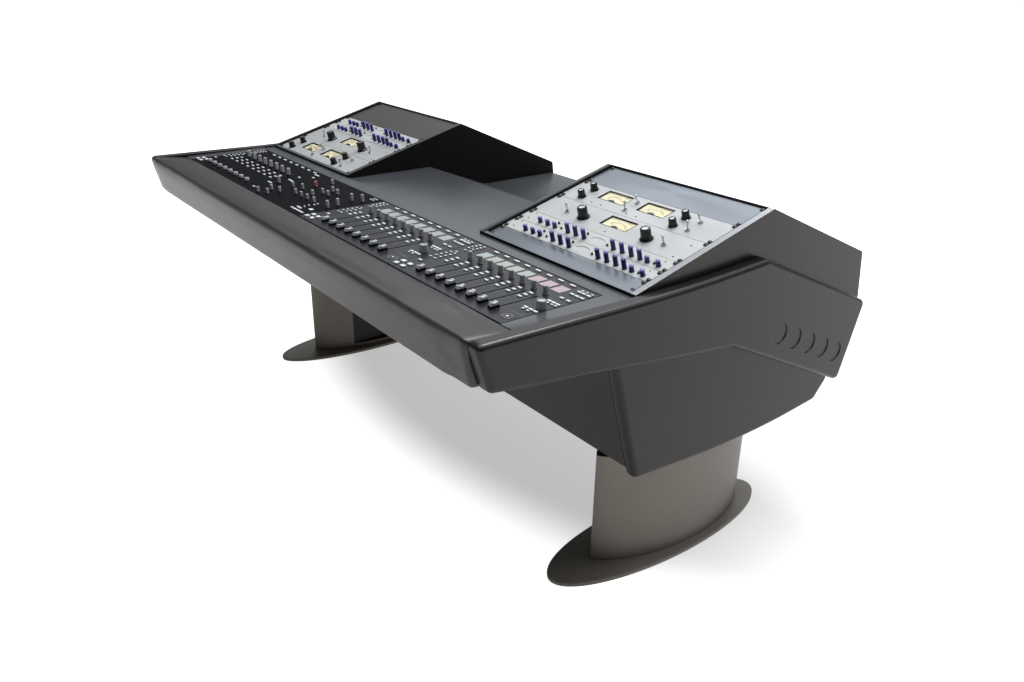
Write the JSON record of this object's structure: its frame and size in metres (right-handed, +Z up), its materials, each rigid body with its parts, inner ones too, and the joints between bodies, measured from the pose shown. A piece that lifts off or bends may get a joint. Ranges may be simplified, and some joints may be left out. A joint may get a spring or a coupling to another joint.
{
  "type": "studio mixing desk",
  "caption": "Recording studio desk with a padded armrest, a control surface let into the front, two sloping rack towers, a work deck between them and two pedestals.",
  "frame": {"origin": "on the floor, under the middle of the desk", "axes": "+X to the seated user's right, -Y towards the user, +Z up"},
  "size_m": [1.76, 1.184, 0.8243],
  "materials": {
    "grey_vinyl": "satin leather-look vinyl over foam",
    "charcoal_lacquer": "satin charcoal lacquer on board",
    "deck_laminate": "satin grey laminate on board",
    "taupe_paint": "satin powder coat",
    "dark_steel": "matt black powder coat",
    "grey_panel": "fine brushed and anodised",
    "pale_panel": "satin pale enamel",
    "smoke_panel": "satin enamel",
    "console_black": "fine textured black enamel",
    "black_plastic": "moulded, lightly glossy",
    "grey_plastic": "moulded, satin",
    "bright_metal": "bright nickel plate"
  },
  "bodies": {
    "desk": {"armrest_pad": "grey_vinyl", "console_tray": "charcoal_lacquer", "knee_panel": "charcoal_lacquer", "tub_floor": "charcoal_lacquer", "rear_panel": "charcoal_lacquer", "end_panel_left": "charcoal_lacquer", "end_panel_right": "charcoal_lacquer", "side_fascia_left": "charcoal_lacquer", "side_fascia_right": "charcoal_lacquer", "tower_inner_wall_left": "charcoal_lacquer", "tower_inner_wall_right": "charcoal_lacquer", "tower_lid_left": "charcoal_lacquer", "tower_lid_right": "charcoal_lacquer", "work_deck": "deck_laminate", "base_plate_left": "taupe_paint", "base_plate_right": "taupe_paint", "pedestal_column_left": "taupe_paint", "pedestal_column_right": "taupe_paint", "column_cover_left": "dark_steel", "column_cover_right": "dark_steel", "rack_rail_left_outer": "dark_steel", "rack_rail_left_inner": "dark_steel", "double_meter_unit_left": "grey_panel", "single_meter_unit_left": "grey_panel", "channel_unit_left_1": "pale_panel", "channel_unit_left_2": "pale_panel", "rack_blank_left_rear": "smoke_panel", "rack_rail_right_inner": "dark_steel", "rack_rail_right_outer": "dark_steel", "rack_blank_right_front": "grey_panel", "channel_unit_right_1": "pale_panel", "channel_unit_right_2": "pale_panel", "single_meter_unit_right": "grey_panel", "double_meter_unit_right": "grey_panel", "rack_blank_right_rear": "grey_panel", "control_surface": "console_black"},
    "gain_knob_left_1_body": {"gain_knob_left_1": "black_plastic"},
    "gain_knob_left_2_body": {"gain_knob_left_2": "black_plastic"},
    "gain_knob_right_1_body": {"gain_knob_right_1": "black_plastic"},
    "gain_knob_right_2_body": {"gain_knob_right_2": "black_plastic"},
    "toggle_lever_right_1_body": {"toggle_lever_right_1": "bright_metal"},
    "toggle_lever_right_2_body": {"toggle_lever_right_2": "bright_metal"},
    "fader_cap_1_body": {"fader_cap_1": "grey_plastic"},
    "fader_cap_2_body": {"fader_cap_2": "grey_plastic"},
    "fader_cap_3_body": {"fader_cap_3": "grey_plastic"},
    "fader_cap_4_body": {"fader_cap_4": "grey_plastic"},
    "fader_cap_5_body": {"fader_cap_5": "grey_plastic"},
    "fader_cap_6_body": {"fader_cap_6": "grey_plastic"},
    "fader_cap_7_body": {"fader_cap_7": "grey_plastic"},
    "fader_cap_8_body": {"fader_cap_8": "grey_plastic"},
    "fader_cap_9_body": {"fader_cap_9": "grey_plastic"},
    "fader_cap_10_body": {"fader_cap_10": "grey_plastic"},
    "fader_cap_11_body": {"fader_cap_11": "grey_plastic"},
    "fader_cap_12_body": {"fader_cap_12": "grey_plastic"},
    "fader_cap_13_body": {"fader_cap_13": "grey_plastic"},
    "fader_cap_14_body": {"fader_cap_14": "grey_plastic"},
    "fader_cap_15_body": {"fader_cap_15": "grey_plastic"},
    "fader_cap_16_body": {"fader_cap_16": "grey_plastic"},
    "data_wheel_1_body": {"data_wheel_1": "black_plastic"},
    "data_wheel_2_body": {"data_wheel_2": "black_plastic"}
  },
  "joints": [
    {"name": "gain_knob_left_1_turn", "type": "hinge", "parent": "desk", "child": "gain_knob_left_1_body", "pos_m": [-0.68311, -0.06137, 0.74708], "axis": [0, -0.2622, 0.965], "range_deg": [-150, 150]},
    {"name": "gain_knob_left_2_turn", "type": "hinge", "parent": "desk", "child": "gain_knob_left_2_body", "pos_m": [-0.4809, -0.06137, 0.74708], "axis": [0, -0.2622, 0.965], "range_deg": [-150, 150]},
    {"name": "gain_knob_right_1_turn", "type": "hinge", "parent": "desk", "child": "gain_knob_right_1_body", "pos_m": [0.49489, -0.01848, 0.75874], "axis": [0, -0.2622, 0.965], "range_deg": [-150, 150]},
    {"name": "gain_knob_right_2_turn", "type": "hinge", "parent": "desk", "child": "gain_knob_right_2_body", "pos_m": [0.6971, -0.01848, 0.75874], "axis": [0, -0.2622, 0.965], "range_deg": [-150, 150]},
    {"name": "toggle_lever_right_1_tip", "type": "hinge", "parent": "desk", "child": "toggle_lever_right_1_body", "pos_m": [0.43891, -0.01848, 0.75874], "axis": [1, 0, 0], "range_deg": [-12, 12]},
    {"name": "toggle_lever_right_2_tip", "type": "hinge", "parent": "desk", "child": "toggle_lever_right_2_body", "pos_m": [0.74705, -0.01848, 0.75874], "axis": [1, 0, 0], "range_deg": [-12, 12]},
    {"name": "fader_slide_1", "type": "slide", "parent": "desk", "child": "fader_cap_1_body", "axis": [0, 1, 0], "range_m": [0, 0.1]},
    {"name": "fader_slide_2", "type": "slide", "parent": "desk", "child": "fader_cap_2_body", "axis": [0, 1, 0], "range_m": [0, 0.1]},
    {"name": "fader_slide_3", "type": "slide", "parent": "desk", "child": "fader_cap_3_body", "axis": [0, 1, 0], "range_m": [0, 0.1]},
    {"name": "fader_slide_4", "type": "slide", "parent": "desk", "child": "fader_cap_4_body", "axis": [0, 1, 0], "range_m": [0, 0.1]},
    {"name": "fader_slide_5", "type": "slide", "parent": "desk", "child": "fader_cap_5_body", "axis": [0, 1, 0], "range_m": [0, 0.1]},
    {"name": "fader_slide_6", "type": "slide", "parent": "desk", "child": "fader_cap_6_body", "axis": [0, 1, 0], "range_m": [0, 0.1]},
    {"name": "fader_slide_7", "type": "slide", "parent": "desk", "child": "fader_cap_7_body", "axis": [0, 1, 0], "range_m": [0, 0.1]},
    {"name": "fader_slide_8", "type": "slide", "parent": "desk", "child": "fader_cap_8_body", "axis": [0, 1, 0], "range_m": [0, 0.1]},
    {"name": "fader_slide_9", "type": "slide", "parent": "desk", "child": "fader_cap_9_body", "axis": [0, 1, 0], "range_m": [0, 0.1]},
    {"name": "fader_slide_10", "type": "slide", "parent": "desk", "child": "fader_cap_10_body", "axis": [0, 1, 0], "range_m": [0, 0.1]},
    {"name": "fader_slide_11", "type": "slide", "parent": "desk", "child": "fader_cap_11_body", "axis": [0, 1, 0], "range_m": [0, 0.1]},
    {"name": "fader_slide_12", "type": "slide", "parent": "desk", "child": "fader_cap_12_body", "axis": [0, 1, 0], "range_m": [0, 0.1]},
    {"name": "fader_slide_13", "type": "slide", "parent": "desk", "child": "fader_cap_13_body", "axis": [0, 1, 0], "range_m": [0, 0.1]},
    {"name": "fader_slide_14", "type": "slide", "parent": "desk", "child": "fader_cap_14_body", "axis": [0, 1, 0], "range_m": [0, 0.1]},
    {"name": "fader_slide_15", "type": "slide", "parent": "desk", "child": "fader_cap_15_body", "axis": [0, 1, 0], "range_m": [0, 0.1]},
    {"name": "fader_slide_16", "type": "slide", "parent": "desk", "child": "fader_cap_16_body", "axis": [0, 1, 0], "range_m": [0, 0.1]},
    {"name": "data_wheel_1_turn", "type": "hinge", "parent": "desk", "child": "data_wheel_1_body", "pos_m": [0.38, -0.3772, 0.71915], "axis": [0, 0, 1], "continuous": true},
    {"name": "data_wheel_2_turn", "type": "hinge", "parent": "desk", "child": "data_wheel_2_body", "pos_m": [0.788, -0.3772, 0.71915], "axis": [0, 0, 1], "continuous": true}
  ]
}
